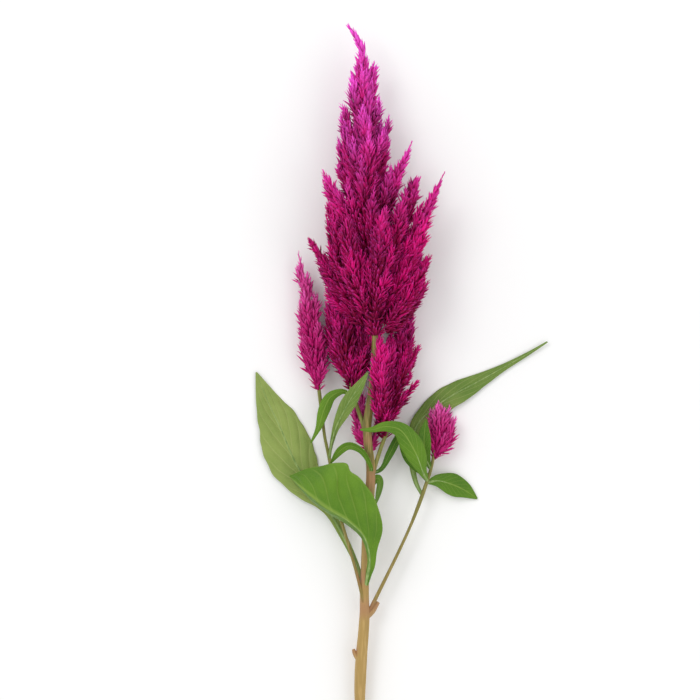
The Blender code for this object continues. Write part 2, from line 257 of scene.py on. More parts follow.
def frames_on(path):
    """(ahead, across, up) at each point of a path. Up stays as near to +Z as it can, and never twists."""
    ahead = unit(np.gradient(path, axis=0))
    up = np.zeros_like(path)
    last = np.array([0.0, 0.0, 1.0])
    for k, forward in enumerate(ahead):
        last = unit(last - forward * last.dot(forward))
        up[k] = last
    return ahead, np.cross(ahead, up), up


def smooth_values(values, shares):
    """Values given at even steps along a piece, read on a smooth curve at any share of its length."""
    values = np.array(values, float)
    slopes = np.gradient(values)
    place = np.clip(shares, 0, 1) * (len(values) - 1)
    k = np.minimum(place.astype(int), len(values) - 2)
    t = place - k
    return ((2 * t ** 3 - 3 * t ** 2 + 1) * values[k] + (t ** 3 - 2 * t ** 2 + t) * slopes[k]
            + (3 * t ** 2 - 2 * t ** 3) * values[k + 1] + (t ** 3 - t ** 2) * slopes[k + 1])


# %% [markdown]
# ## A sheet to start from
#
# Stalks and leaves both begin as the same primitive: a flat grid. A leaf is that sheet bent along its
# midrib. A stalk is the sheet rolled into a tube and closed at both ends. A grid also brings a map of its
# surface, so ribs and veins can be painted along the piece whichever way it bends.

# %% The flat grid and what is done to it
SEAM = 0.01 * MM
SHARP_EDGE = math.radians(55)


def flat_sheet(name, across, along):
    """A grid of across by along cells, and how far across and along it each of its points is, from 0 to 1."""
    bpy.ops.object.select_all(action="DESELECT")
    bpy.ops.mesh.primitive_grid_add(x_subdivisions=across, y_subdivisions=along, size=1, location=(0, 0, 0))
    sheet = bpy.context.object
    sheet.name = name
    flat = np.zeros(len(sheet.data.vertices) * 3)
    sheet.data.vertices.foreach_get("co", flat)
    flat = flat.reshape(-1, 3)
    return sheet, flat[:, 0] + 0.5, flat[:, 1] + 0.5


def rolled_sheet(name, path, sides):
    """A sheet to roll round a path, and each point's share along it, angle, step of the path and way out."""
    rings = len(path) - 1
    sheet, around, along = flat_sheet(name, sides, rings)
    _, across, up = frames_on(path)
    step = np.rint(along * rings).astype(int)
    angle = around * 2 * math.pi
    outward = np.cos(angle)[:, None] * across[step] + np.sin(angle)[:, None] * up[step]
    return sheet, along, angle, step, outward


def carry(piece, places):
    """Moves each point of a piece to its place on the ruler."""
    piece.data.vertices.foreach_set("co", in_metres(places).ravel())
    piece.data.update()


def close_tube(tube):
    """Joins the rolled sheet's two long edges, fills its ends and turns its faces outwards."""
    bpy.context.view_layer.objects.active = tube
    bpy.ops.object.mode_set(mode="EDIT")
    bpy.ops.mesh.select_all(action="SELECT")
    bpy.ops.mesh.remove_doubles(threshold=SEAM)
    bpy.ops.mesh.select_all(action="DESELECT")
    bpy.ops.mesh.select_non_manifold()
    bpy.ops.mesh.edge_face_add()
    bpy.ops.mesh.select_all(action="SELECT")
    bpy.ops.mesh.normals_make_consistent(inside=False)
    bpy.ops.object.mode_set(mode="OBJECT")
    bpy.ops.object.shade_smooth_by_angle(angle=SHARP_EDGE)


def mark(piece, name, values):
    """Keeps a number for each point of the piece, which its finish can read."""
    made = piece.data.attributes.new(name, "FLOAT", "POINT")
    made.data.foreach_set("value", np.asarray(values, np.float32))


# %% [markdown]
# ## The stalks' finish
#
# The real stem is tan and ribbed near the cut, flushed pink at every joint, and olive green higher up; the
# main stem's olive up there is painted darker, as painted shade from the plumes over it. The thin shoots are
# yellow-green with a brown flush. Long streaks follow the stem, so the noise is stretched along y. The pink
# flush is a soft ball of colour round each joint, found by the distance to it.

# %% Stalk finishes
# A joint is its x, y and z on the ruler, and how far its flush reaches.
JOINTS = [(3, 120, 13, 10), (3, 140, 14, 9), (7, 205, 20, 12), (5, 230, 23, 6), (-3, 92, 10, 6),
          (10, 122, 10, 7)]
FLUSH = 0.75


def joint_flush(tree, place, reach):
    """1 at a joint, falling to 0 at reach millimetres from it."""
    away = add(tree, "ShaderNodeVectorMath", {0: own_place(tree), 1: tuple(in_metres(place))},
               operation="DISTANCE")
    return between(tree, away.outputs["Value"], 0.2 * reach * MM, reach * MM, 1.0, 0.0)


def stalk_finish(name, low_colour, high_colour, change_from, change_to, flush_colour):
    """Streaky stem skin that changes colour up the stem and flushes at the joints."""
    made, tree, shader = new_finish(name)
    height = add(tree, "ShaderNodeSeparateXYZ", {0: own_place(tree)}).outputs["Y"]
    starts, ends = [float(in_metres((0, y, 0))[1]) for y in (change_from, change_to)]
    streaks = noise(tree, 900.0, 4.0, stretch=(1, 0.05, 1))
    patches = noise(tree, 55.0, 2.0, stretch=(1, 0.35, 1))
    darker = tuple(c * 0.62 for c in low_colour)
    paler = tuple(min(1.0, c * 1.35 + 0.05) for c in low_colour)
    colour = blend(tree, between(tree, height, starts, ends), low_colour, high_colour)
    colour = blend(tree, between(tree, patches, 0.35, 0.7, 0.0, 0.45), colour, darker)
    colour = blend(tree, between(tree, streaks, 0.45, 0.72, 0.0, 0.6), colour, paler)
    for *place, reach in JOINTS:
        amount = sums(tree, "MULTIPLY", joint_flush(tree, place, reach), FLUSH)
        colour = blend(tree, amount, colour, flush_colour)
    rough = between(tree, streaks, 0.3, 0.7, 0.42, 0.6)
    finish_surface(tree, shader, colour, rough, streaks, 0.0003, 0.35)
    shader.inputs["Specular IOR Level"].default_value = 0.35
    return made


def pith_finish():
    """The pale, porous face of the cut."""
    made, tree, shader = new_finish("cut_pith")
    cells = add(tree, "ShaderNodeTexVoronoi", {"Vector": own_place(tree), "Scale": 2600.0})
    pores = cells.outputs["Distance"]
    colour = blend(tree, between(tree, pores, 0.1, 0.6), (0.36, 0.38, 0.17), (0.66, 0.66, 0.42))
    finish_surface(tree, shader, colour, between(tree, pores, 0.0, 0.6, 0.6, 0.8), pores, 0.0002)
    return made


# The main stem's high colour is a darker olive: its own colour and painted shade from the plumes above.
STEM_FINISH = stalk_finish("ribbed_stem_skin", (0.41, 0.265, 0.080), (0.130, 0.130, 0.024), 130, 235,
                           (0.40, 0.20, 0.10))
SHOOT_FINISH = stalk_finish("shoot_skin", (0.27, 0.20, 0.05), (0.20, 0.24, 0.045), 130, 230,
                            (0.32, 0.13, 0.07))
PITH_FINISH = pith_finish()
print("stalk finishes", STEM_FINISH.name, SHOOT_FINISH.name, PITH_FINISH.name)

# %% [markdown]
# ## The stalks
#
# A celosia stem is ribbed lengthwise, swells a little at each joint and wanders from side to side. A plain
# bevelled curve would give a perfect pipe, so the sheet is rolled instead: its ribs, swellings and slow
# unevenness are then real shape, which shows in any light.

# %% Roll a ribbed stalk
# A lump is its wavelength along the stalk in millimetres, over 2 pi, and how many lobes it has round it.
RING_SPACING = 1.6
LUMPS = ((4.0, 1), (7.0, 2), (13.0, 1), (2.3, 3))
LUMP_DEPTH = 0.012
TWIST, TWIST_WAVE = 0.5, 60.0
ANY_START = 6.0


def stalk(name, points, radii, sides, ribs, rib_depth, finish, seed):
    """A closed tube along the points, with ribs along it and a slow unevenness."""
    length = length_of(points)
    path = smooth_path(points, int(length / RING_SPACING) + 1)
    tube, along, angle, step, outward = rolled_sheet(name, path, sides)
    drawn = np.random.default_rng(seed)
    lumps = sum(drawn.uniform(0.3, 1.0)
                * np.sin(along * length / wave + lobes * angle + drawn.uniform(0, ANY_START))
                for wave, lobes in LUMPS)
    twist = TWIST * np.sin(along * length / TWIST_WAVE)
    swell = 1 + rib_depth * np.cos(ribs * (angle + twist)) + LUMP_DEPTH * lumps
    carry(tube, path[step] + outward * (smooth_values(radii, along) * swell)[:, None])
    close_tube(tube)
    tube.data.materials.append(finish)
    return tube


def declare(piece, node):
    """Puts the piece on the root body, hides the measured part it stands for and says which part that is."""
    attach(piece, "root")
    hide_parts(node)
    print(piece.name, len(piece.data.polygons), "faces, stands for", node)


def join(pieces, name):
    """Several modelled parts as one piece."""
    bpy.ops.object.select_all(action="DESELECT")
    for part in pieces:
        part.select_set(True)
    bpy.context.view_layer.objects.active = pieces[0]
    bpy.ops.object.join()
    pieces[0].name = name
    return pieces[0]


# %% [markdown]
# The foot of the main stem was cut with a knife. The end face is inset to leave a thin green rim, and the
# middle is pushed in a little, because the soft pith dries back first.

# %% Main stem with its cut end, leaf scar and stub
MAIN_STEM = [(0, 0, 3.3), (0, 61, 8), (1, 87, 10), (3, 113, 12.5), (3, 133, 14), (4, 161, 16), (6, 191, 19),
             (7, 211, 21), (5, 230, 23), (5, 243, 24), (8, 263, 25.5), (10, 289, 27), (10, 312, 28)]
MAIN_STEM_RADII = [3.3, 3.2, 3.3, 3.8, 3.5, 2.9, 2.8, 3.4, 2.9, 2.8, 2.6, 2.4, 2.0]
SCAR = [(4, 115, 12), (8, 118.5, 11), (10, 121.5, 10.4), (11.5, 124, 10)]
SCAR_RADII = [2.6, 2.3, 1.9, 1.6]
STUB = [(-1.5, 87.5, 10), (-3.4, 90.5, 10.2), (-4.3, 93, 10.3)]
STUB_RADII = [1.8, 1.5, 0.9]
CUT_RIM = 0.5 * MM
PITH_RIM = 0.9 * MM
PITH_DEPTH = 0.35 * MM


def open_cut(stem):
    """Gives the foot's end face a rim and a sunken middle of pith."""
    stem.data.materials.append(PITH_FINISH)
    faces = stem.data.polygons
    foot = min((f.index for f in faces if len(f.vertices) > 4), key=lambda i: faces[i].center.y)
    bpy.ops.object.select_all(action="DESELECT")
    stem.select_set(True)
    bpy.context.view_layer.objects.active = stem
    bpy.ops.object.mode_set(mode="EDIT")
    bpy.ops.mesh.select_mode(type="FACE")
    bpy.ops.mesh.select_all(action="DESELECT")
    bpy.ops.object.mode_set(mode="OBJECT")
    faces[foot].select = True
    bpy.ops.object.mode_set(mode="EDIT")
    bpy.ops.mesh.inset(thickness=CUT_RIM, depth=0)
    stem.active_material_index = 1
    bpy.ops.object.material_slot_assign()
    bpy.ops.mesh.inset(thickness=PITH_RIM, depth=-PITH_DEPTH)
    bpy.ops.mesh.select_mode(type="VERT")
    bpy.ops.object.mode_set(mode="OBJECT")


stem_body = stalk("stem_body", MAIN_STEM, MAIN_STEM_RADII, sides=56, ribs=7, rib_depth=0.035,
                  finish=STEM_FINISH, seed=3)
scar = stalk("scar", SCAR, SCAR_RADII, sides=20, ribs=5, rib_depth=0.08, finish=STEM_FINISH, seed=5)
stub = stalk("stub", STUB, STUB_RADII, sides=16, ribs=4, rib_depth=0.08, finish=STEM_FINISH, seed=6)
main_stem = join([stem_body, scar, stub], "ribbed_main_stem")
open_cut(main_stem)
declare(main_stem, "main_stem")

# %% Side shoots and plume stalks
THIN_STALKS = {
    "left_side_shoot": ([(3, 119, 14), (1, 130, 16), (-3, 146, 15.5), (-8, 163, 13.5), (-13, 181, 12),
                         (-17, 203, 11), (-20, 218, 11), (-23, 232, 10.5), (-25, 248, 10), (-27, 264, 10),
                         (-29, 276, 10)],
                        [1.1, 1.1, 1.0, 1.0, 1.0, 1.0, 1.25, 1.0, 1.1, 1.2, 1.0]),
    "right_side_shoot": ([(3, 112, 12.5), (9, 124, 13), (21, 148, 12.5), (31, 169, 11.5), (38, 186, 10.5),
                          (44, 203, 10), (47, 213, 9.5), (49, 224, 9)],
                         [1.3, 1.2, 1.1, 1.0, 1.0, 1.3, 1.1, 1.0]),
    "left_plume_stalk": ([(5, 229, 23), (2, 240, 21.5), (-3, 255, 19), (-6, 266, 17), (-8, 277, 15)],
                         [1.5, 1.4, 1.3, 1.4, 1.2]),
    "right_plume_stalk": ([(7, 203, 20), (10, 214, 20), (14, 226, 19.5), (18, 237, 19), (20, 248, 18.5),
                           (20, 259, 18)],
                          [1.5, 1.4, 1.3, 1.3, 1.3, 1.2]),
}
for seed, (node, (points, radii)) in enumerate(THIN_STALKS.items(), 10):
    shoot = stalk("ribbed_" + node, points, radii, sides=20, ribs=5, rib_depth=0.06, finish=SHOOT_FINISH,
                  seed=seed)
    declare(shoot, node)

# %% [markdown]
# ## The leaves' finish
#
# A celosia leaf is a soft satin green. Pale side veins leave the midrib and curve towards the tip, with a
# fine net between them. The underside is greyer and paler. The sheet's own map tells the finish where it is
# on the leaf: u runs across, v from foot to tip, so each vein is a curved line of u and v.

# %% Leaf finishes
SIDE_VEINS = 9.0
VEIN_SWEEP, VEIN_CURVE = 2.6, 0.85
VEIN_WIDTH = 0.10


def vein_lines(tree):
    """How much a point is on a side vein, how much it is on the midrib, and how far from the midrib it is."""
    place = add(tree, "ShaderNodeSeparateXYZ", {0: add(tree, "ShaderNodeTexCoord").outputs["UV"]})
    off_middle = sums(tree, "SUBTRACT", place.outputs["X"], 0.5)
    from_rib = sums(tree, "MULTIPLY", sums(tree, "ABSOLUTE", off_middle), 2.0)
    sweep = sums(tree, "MULTIPLY", sums(tree, "POWER", from_rib, VEIN_CURVE), VEIN_SWEEP)
    count = sums(tree, "SUBTRACT", sums(tree, "MULTIPLY", place.outputs["Y"], SIDE_VEINS), sweep)
    off_vein = sums(tree, "ABSOLUTE", sums(tree, "SUBTRACT", sums(tree, "FRACT", count), 0.5))
    side = between(tree, off_vein, 0.0, VEIN_WIDTH, 1.0, 0.0)
    side = sums(tree, "MULTIPLY", side, between(tree, from_rib, 0.75, 1.0, 1.0, 0.0))
    rib = between(tree, from_rib, 0.02, 0.09, 1.0, 0.0)
    return side, rib, from_rib


def leaf_finish(name, dark, light, vein, vein_amount):
    """Satin leaf skin: two greens in soft patches, pale veins and a fine net in the relief."""
    made, tree, shader = new_finish(name)
    side, rib, from_rib = vein_lines(tree)
    patches = noise(tree, 45.0, 3.0)
    net = add(tree, "ShaderNodeTexVoronoi", {"Vector": own_place(tree), "Scale": 750.0},
              feature="DISTANCE_TO_EDGE").outputs["Distance"]
    shade = add(tree, "ShaderNodeAttribute", attribute_name="paleness").outputs["Fac"]
    tone = sums(tree, "ADD", between(tree, patches, 0.3, 0.7, -0.18, 0.18), shade, clamp=True)
    colour = blend(tree, tone, dark, light)
    colour = blend(tree, between(tree, net, 0.0, 0.12, 0.10, 0.0), colour, vein)
    colour = blend(tree, sums(tree, "MULTIPLY", side, vein_amount), colour, vein)
    colour = blend(tree, sums(tree, "MULTIPLY", rib, vein_amount * 1.6), colour, vein)
    colour = blend(tree, between(tree, from_rib, 0.93, 1.0, 0.0, 0.25), colour, vein)
    relief = sums(tree, "ADD", sums(tree, "MULTIPLY", side, -0.7), between(tree, net, 0.0, 0.2, 0.0, 0.35))
    rough = between(tree, patches, 0.3, 0.7, 0.40, 0.52)
    finish_surface(tree, shader, colour, rough, relief, 0.0004, 0.45)
    shader.inputs["Specular IOR Level"].default_value = 0.25
    return made


def rib_finish():
    """The juicy, paler skin of a midrib and its petiole."""
    made, tree, shader = new_finish("midrib_skin")
    streaks = noise(tree, 700.0, 3.0, stretch=(1, 0.1, 1))
    colour = blend(tree, between(tree, streaks, 0.35, 0.7), (0.16, 0.27, 0.055), (0.30, 0.42, 0.13))
    finish_surface(tree, shader, colour, between(tree, streaks, 0.3, 0.7, 0.4, 0.5), streaks, 0.0002, 0.3)
    return made


LEAF_UPPER = leaf_finish("leaf_upper_skin", (0.040, 0.135, 0.003), (0.145, 0.290, 0.014),
                         (0.30, 0.41, 0.075), vein_amount=0.30)
LEAF_UNDER = leaf_finish("leaf_under_skin", (0.105, 0.200, 0.024), (0.300, 0.380, 0.095),
                         (0.44, 0.50, 0.18), vein_amount=0.40)
RIB_FINISH = rib_finish()
print("leaf finishes", LEAF_UPPER.name, LEAF_UNDER.name, RIB_FINISH.name)

# %% [markdown]
# ## The leaves
#
# Each leaf starts as the flat sheet. Its points are carried along the midrib, as wide as the leaf is there,
# and the two halves are folded up or down. The blade then bulges between its side veins and its edge waves a
# little, which is what makes a leaf look alive. A solidify modifier gives it the thickness of a real leaf,
# with its own finish for the underside. A tapering tube, rolled like the stalks, is the petiole and midrib
# that carries it.

# %% Bend a sheet into a leaf
LEAF_THICKNESS = 0.45
CELL = 1.1
FEWEST_ALONG = 36
FEWEST_ACROSS_HALF, MOST_ACROSS_HALF = 7, 22
PETIOLE_HALF, BLADE_HALF, THINNEST_HALF = 2.0, 8.0, 0.35
NOTCH_WAVES, NOTCH_DEPTH = (1.9, 3.1, 5.3), 0.045
RIPPLE_WAVES, RIPPLE_SHARE = (4.5, 8.0, 13.0), 0.6
PUFF = 0.075
CREASE = 5


def waves(sizes, run, offset, drawn):
    """Some waves along the leaf added up, each with its own start. A size is a wavelength over 2 pi."""
    return sum(np.sin(run / size + drawn.uniform(0, ANY_START) + offset) for size in sizes)


def blade_bulge(width, reach, v):
    """How far the blade rises between its side veins."""
    vein_count = v * SIDE_VEINS - VEIN_SWEEP * reach ** VEIN_CURVE
    quilt = np.abs(np.sin(math.pi * (vein_count - 0.5))) ** 0.7
    return PUFF * width * quilt * np.sin(math.pi * np.clip(reach, 0, 1))


def leaf(name, seed, spine, half, folds, paleness, right_half=None, upper_up=True, wave=0.5, petiole=0.2):
    """One leaf: blade, midrib and petiole. Its two halves are alike unless right_half is given.

    The widths of the halves are in millimetres, at even steps from foot to tip, and the folds in degrees.
    """
    right_half = right_half or half
    length, widest = length_of(spine), max(*half, *right_half)
    cells_along = max(FEWEST_ALONG, int(length / CELL))
    cells_half = max(FEWEST_ACROSS_HALF, min(MOST_ACROSS_HALF, int(widest / CELL)))
    blade, u, v = flat_sheet(name, 2 * cells_half, cells_along)
    drawn = np.random.default_rng(seed)
    path = smooth_path(spine, cells_along + 1)
    _, across, up = frames_on(path)
    step = np.rint(v * cells_along).astype(int)
    side = np.where(u < 0.5, -1.0, 1.0)
    reach = np.abs(2 * u - 1)
    width = np.where(u < 0.5, smooth_values(half, v), smooth_values(right_half, v))
    blade_share = np.clip((width - PETIOLE_HALF) / (BLADE_HALF - PETIOLE_HALF), 0, 1)
    ragged = waves(NOTCH_WAVES, v * length, side, drawn) / len(NOTCH_WAVES)
    width = np.maximum(width * (1 + NOTCH_DEPTH * ragged * blade_share), THINNEST_HALF)
    ripple = RIPPLE_SHARE * wave * reach ** 2 * waves(RIPPLE_WAVES, v * length, 0.8 * side, drawn)
    fold = np.radians(np.where(u < 0.5, *folds)) * np.clip(reach * CREASE, 1 / CREASE, 1)
    out = side * reach * width * np.cos(fold)
    lift = reach * width * np.sin(fold) + (blade_bulge(width, reach, v) + ripple) * blade_share
    carry(blade, path[step] + across[step] * out[:, None] + up[step] * lift[:, None])
    mark(blade, "paleness", np.full(len(u), paleness))
    for finish in ((LEAF_UPPER, LEAF_UNDER) if upper_up else (LEAF_UNDER, LEAF_UPPER)):
        blade.data.materials.append(finish)
    thicken_blade(blade)
    return join([blade, rib_tube(path, widest, petiole, upper_up)], name)


def thicken_blade(blade):
    """Gives the blade its thickness, and its second finish to the side that faces down."""
    thicken = blade.modifiers.new("thickness", "SOLIDIFY")
    thicken.thickness = LEAF_THICKNESS * MM
    thicken.offset = 0.0
    thicken.material_offset = 1
    bpy.ops.object.modifier_apply(modifier=thicken.name)
    bpy.ops.object.shade_smooth()


def rib_tube(path, widest, petiole, upper_up):
    """The petiole, and the midrib that it becomes, as one tapering tube under the blade."""
    tube, along, _, step, outward = rolled_sheet("midrib", path, 10)
    _, _, up = frames_on(path)
    thick = np.interp(along, [0, petiole, 0.75, 1], [1.15, 0.85, 0.42, 0.15]) * min(1.0, 0.45 + widest / 16)
    sink = np.interp(along, [0, petiole, 1], [0.0, 0.45, 0.12]) * (-1 if upper_up else 1)
    carry(tube, path[step] + up[step] * sink[:, None] + outward * thick[:, None])
    close_tube(tube)
    tube.data.materials.append(RIB_FINISH)
    return tube


# %% The large leaves
LARGE_LEAVES = {
    "leaf_lower_left": dict(
        spine=[(2, 129, 11.5), (-1, 145, 9.5), (-10, 165, 7), (-20, 183, 4.6), (-31, 198, 2.6),
               (-42, 214, 1.2), (-52, 237, 0.6), (-61, 256, 0.7), (-68, 274, 1.6)],
        half=[1.2, 1.6, 2.4, 4, 12, 17, 15, 8, 0.5],
        right_half=[1.2, 1.6, 2.4, 3.4, 10, 15, 14, 8, 0.5],
        folds=(4, 2), paleness=0.7, upper_up=False, wave=0.25, petiole=0.4),
    "leaf_front": dict(
        spine=[(3, 132, 14), (5, 142, 20), (6.5, 153, 26), (3, 167, 30), (-8, 178, 31), (-23, 187, 28),
               (-38, 199, 19), (-46, 206, 10)],
        half=[1.2, 2.4, 4, 7, 9, 9, 7, 0.5], right_half=[1.2, 3, 6, 19, 28, 31, 18, 0.5],
        folds=(-55, -4), paleness=0.55, wave=0.6),
    "leaf_right_shoot_long": dict(
        spine=[(41, 193, 10), (36, 204, 6.5), (34, 220, 4), (37, 238, 2.6), (48, 250, 1.8), (61, 259, 1.3),
               (76, 267, 1.1), (94, 277, 1.2), (110, 286, 1.8), (123, 294, 2.6)],
        half=[1, 1.8, 3, 5, 7.5, 7.5, 4.8, 2.4, 1.3, 0.5],
        folds=(3, 3), paleness=0.15, upper_up=False, wave=0.25),
    "leaf_right_shoot_front": dict(
        spine=[(44, 203, 10), (41, 209, 19), (36, 222, 27), (27, 236, 32), (17, 239, 33), (8, 237, 32),
               (0, 237, 31)],
        half=[1, 3, 6.5, 7, 4.5, 2.5, 0.5], folds=(-6, -6), paleness=0.5),
    "leaf_right_shoot_oval": dict(
        spine=[(44, 202, 10), (51, 203, 7.5), (59, 201, 5), (68, 197, 2.6), (77, 191, 1)],
        half=[1, 5, 7.5, 5, 0.5], folds=(4, 4), paleness=0.3, wave=0.3),
}
for seed, (node, shape) in enumerate(LARGE_LEAVES.items(), 30):
    declare(leaf("veined_" + node, seed, **shape), node)

# %% The small leaves
SMALL_LEAVES = {
    "leaf_behind_right": dict(
        spine=[(6, 198, 19), (11, 205, 18), (13, 202, 16), (12, 195, 13), (10, 187, 11)],
        half=[1, 2.6, 3, 0.5], folds=(5, 5), paleness=0.5),
    "leaf_arching_left": dict(
        spine=[(7, 208, 21), (7, 213, 26), (2, 222, 29), (-4, 226, 29), (-9, 226, 28), (-14, 222, 25),
               (-19, 215, 22)],
        half=[1, 1.4, 2, 2.6, 2.4, 0.5], folds=(10, 10), paleness=0.4),
    "leaf_dark_right": dict(
        spine=[(7, 208, 18), (14, 211, 15.5), (19, 220, 14.5), (24, 230, 14), (29, 240, 13.5)],
        half=[1, 1.6, 2.6, 2.4, 0.5], folds=(8, 8), paleness=0.1),
    "leaf_left_shoot_upright": dict(
        spine=[(-20, 217, 11), (-19, 225, 14), (-16, 237, 20), (-11, 248, 26), (-6, 257, 31), (0, 266, 34),
               (5, 274, 36)],
        half=[0.8, 1.2, 2.2, 4, 5, 3.4, 0.5], folds=(6, 6), paleness=0.2, upper_up=False),
    "leaf_left_shoot_curled": dict(
        spine=[(-3, 255, 19), (-9, 261, 21), (-14, 261, 21), (-20, 257, 19), (-24, 248, 17), (-27, 238, 15),
               (-32, 228, 13)],
        half=[0.8, 1.4, 3, 4, 3.2, 1.6, 0.5], folds=(-10, -10), paleness=0.55),
    "leaf_right_shoot_dark": dict(
        spine=[(45, 206, 10), (38, 211, 11), (33, 218, 12), (29, 226, 12.5), (26, 234, 13)],
        half=[1, 2.6, 4.2, 3.4, 0.5], folds=(4, 4), paleness=0.1),
    "leaf_right_shoot_upright": dict(
        spine=[(46, 211, 9.5), (44, 216, 12), (42, 225, 15), (42, 234, 17), (43, 243, 19)],
        half=[1, 2.8, 4.5, 3.6, 0.5], folds=(6, 6), paleness=0.2),
}
for seed, (node, shape) in enumerate(SMALL_LEAVES.items(), 50):
    declare(leaf("veined_" + node, seed, **shape), node)

# %% [markdown]
# ## The plumes' finish
#
# A plume's colour is never flat. Each floret scale is papery: pale at its foot, deep magenta in the middle
# and hot pink at its point. A whole spike does the same on a larger scale, the plume is painted brighter
# towards its tip, and every scale differs a little from its neighbour. The florets carry those four numbers,
# so the finish only has to mix by them. The dark end of these runs is partly painted shade, low on the scales
# and spikes, and the bright end partly a painted glow of light through the thin florets; the rest is their
# own colour.

# %% Plume finishes
def plume_finish(name, deep, middle, bright, foot, painted_glow_at_foot):
    """Papery floret skin, mixed from where a point is on its scale, on its spike and on the plume."""
    made, tree, shader = new_finish(name)
    on_scale, on_spike, on_plume, chance = [
        add(tree, "ShaderNodeAttribute", attribute_name=key).outputs["Fac"]
        for key in ("on_scale", "on_spike", "on_plume", "chance")]
    fibres = noise(tree, 1400.0, 3.0, stretch=(1, 0.15, 1))
    clouds = noise(tree, 40.0, 2.0)
    # Tone from deep to middle: random by scale and in clouds, and darker at each scale's foot and low on each
    # spike as painted shade.
    tone = sums(tree, "ADD", sums(tree, "MULTIPLY", on_scale, 0.25),
                between(tree, chance, 0.15, 0.9, -0.1, 0.55))
    tone = sums(tree, "ADD", tone, between(tree, on_spike, 0.25, 1.0, -0.05, 0.4))
    tone = sums(tree, "ADD", tone, between(tree, clouds, 0.3, 0.7, -0.25, 0.1), clamp=True)
    colour = blend(tree, tone, deep, middle)
    # Painted glow: brighter up the plume, along each spike and towards each scale's point, partly the
    # florets' own pinker tips and partly light through them painted in.
    height = between(tree, on_plume, 0.3, 0.9, painted_glow_at_foot, 1.2)
    painted_glow = sums(tree, "MULTIPLY", height, between(tree, on_spike, 0.2, 0.95, 0.1, 1.1))
    painted_glow = sums(tree, "MULTIPLY", painted_glow, between(tree, on_scale, 0.0, 0.9, 0.35, 1.0))
    colour = blend(tree, painted_glow, colour, bright)
    # Each scale's point is brighter still, partly its own hot pink and partly painted glow.
    point = sums(tree, "MULTIPLY", between(tree, on_scale, 0.7, 1.0), 0.35)
    colour = blend(tree, point, colour, bright)
    pale = sums(tree, "MULTIPLY", between(tree, on_scale, 0.0, 0.3, 1.0, 0.0),
                between(tree, chance, 0.6, 0.95, 0.0, 0.3))
    colour = blend(tree, pale, colour, foot)
    colour = blend(tree, between(tree, fibres, 0.5, 0.75, 0.0, 0.2), colour, bright)
    rough = between(tree, fibres, 0.3, 0.7, 0.55, 0.7)
    finish_surface(tree, shader, colour, rough, fibres, 0.0001, 0.3)
    shader.inputs["Specular IOR Level"].default_value = 0.12
    return made


# The plumes keep little painted glow at their foot, so their lower parts stay darker, partly as painted
# shade.
PLUME_FINISH = plume_finish("magenta_florets", (0.22, 0.0, 0.032), (0.84, 0.002, 0.215), (1.0, 0.11, 0.76),
                            (0.80, 0.20, 0.42), painted_glow_at_foot=0.06)
PINK_FINISH = plume_finish("pink_florets", (0.50, 0.006, 0.15), (0.72, 0.03, 0.27), (0.95, 0.16, 0.58),
                           (0.80, 0.45, 0.50), painted_glow_at_foot=0.25)
print("plume finishes", PLUME_FINISH.name, PINK_FINISH.name)

# %% [markdown]
# ## One floret scale
#
# The feathery look comes from thousands of small pointed scales. One is enough to model: a triangle is
# extruded three times, widened at the belly and merged to a point, bending outwards as it grows. The copies
# are too many to place by hand, so a later step places them all at once.

# %% Model the scale
# Each extrusion of the scale is its rise, its step outwards and how much it widens.
SCALE_FOOT = 0.35
SCALE_STEPS = ((0.35, 0.12, 2.8), (0.38, 0.0, 0.62), (0.27, 0.12, 1.0))


def model_scale():
    """A small pointed scale of height 1, keel towards +Y, as its points and its faces."""
    bpy.ops.object.select_all(action="DESELECT")
    bpy.ops.mesh.primitive_circle_add(vertices=3, radius=SCALE_FOOT, fill_type="NGON", location=(0, 0, 0))
    scale = bpy.context.object
    bpy.ops.object.mode_set(mode="EDIT")
    bpy.ops.mesh.select_all(action="SELECT")
    for rise, outward, widen in SCALE_STEPS:
        bpy.ops.mesh.extrude_region_move(TRANSFORM_OT_translate={"value": (0, outward, rise)})
        bpy.ops.transform.resize(value=(widen, widen, 1))
    bpy.ops.mesh.merge(type="CENTER")
    bpy.ops.mesh.select_all(action="SELECT")
    bpy.ops.mesh.normals_make_consistent(inside=False)
    bpy.ops.object.mode_set(mode="OBJECT")
    points = np.array([v.co for v in scale.data.vertices])
    faces = [list(f.vertices) for f in scale.data.polygons]
    bpy.data.objects.remove(scale)
    return points, faces


SCALE_POINTS, SCALE_FACES = model_scale()
print("one scale has", len(SCALE_POINTS), "points and", len(SCALE_FACES), "faces")

# %% [markdown]
# ## Growing a plume
#
# A plume branches twice. Its long spikes are placed by measure. Each spike is crowded with slender flames
# that leave it low down and curve up along it, and every flame, like the spike's own tip, is wrapped in
# scales. Flames and scales both follow the golden angle, 137.5 degrees from one to the next, as real florets
# do, which is why they never line up.

# %% The shape of a spike
GOLDEN_ANGLE = math.radians(137.508)
BELLY = 0.33
BLUNT_FOOT = 0.25
POINT = 0.03


def taper(widest):
    """The radius of a plain spike at any share of its length: blunt foot, full belly, long taper."""
    def radius_at(share):
        """The radius at one share or at many."""
        foot = BLUNT_FOOT + (1 - BLUNT_FOOT) * np.sin(np.clip(share / BELLY, 0, 1) * math.pi / 2)
        tip = np.maximum(POINT, 1 - np.clip((share - BELLY) / (1 - BELLY), 0, 1) ** 1.35)
        return widest * np.where(share < BELLY, foot, tip)
    return radius_at


def plain_spikes(rows):
    """Spikes as grow_plume takes them, from rows of a path, a widest radius and, where given, its painted
    glow.
    """
    return [(points, taper(widest), *(painted_glow or [0.0])) for points, widest, *painted_glow in rows]


